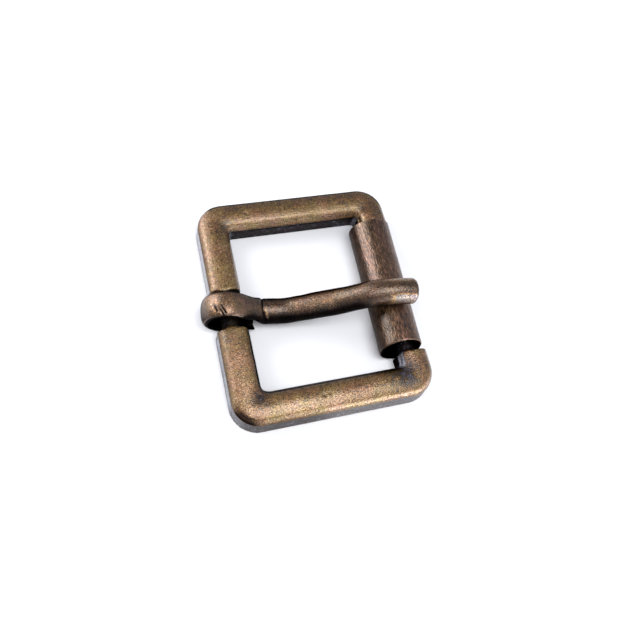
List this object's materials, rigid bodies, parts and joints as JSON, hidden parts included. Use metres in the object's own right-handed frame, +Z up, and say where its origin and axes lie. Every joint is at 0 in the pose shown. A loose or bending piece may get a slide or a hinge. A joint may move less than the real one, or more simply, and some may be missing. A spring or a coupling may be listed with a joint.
{
  "type": "roller buckle",
  "caption": "Rectangular strap buckle with rounded corners, a loose roller on its front bar and a bent prong looped round a neck in its heel bar.",
  "frame": {"origin": "under the middle of the whole buckle's box, on the flat underside that lies on the surface", "axes": "+X along the strap from the heel bar to the roller, +Y along the bars, +Z up from the flat underside"},
  "size_m": [0.0308, 0.034, 0.01],
  "materials": {
    "frame_plating": "antique brass plating on a cast frame, rubbed bright on the crowns and dark in the corners",
    "roller_plating": "antique brass plating on rolled sheet, with fine rub marks along the roller",
    "prong_plating": "antique brass plating on bent rod, rubbed bright on top, with press marks on the loop"
  },
  "bodies": {
    "frame": {"frame": "frame_plating"},
    "roller": {"roller": "roller_plating"},
    "prong": {"prong": "prong_plating"}
  },
  "joints": [
    {"name": "prong_swing", "type": "hinge", "parent": "frame", "child": "prong", "pos_m": [-0.01177, 0.00005, 0.0035], "axis": [-0.1323, -0.9912, 0], "range_deg": [0, 172]},
    {"name": "roller_spin", "type": "hinge", "parent": "frame", "child": "roller", "pos_m": [0.01165, -0.00005, 0.00315], "axis": [0.0262, 0.9997, 0], "continuous": true}
  ]
}
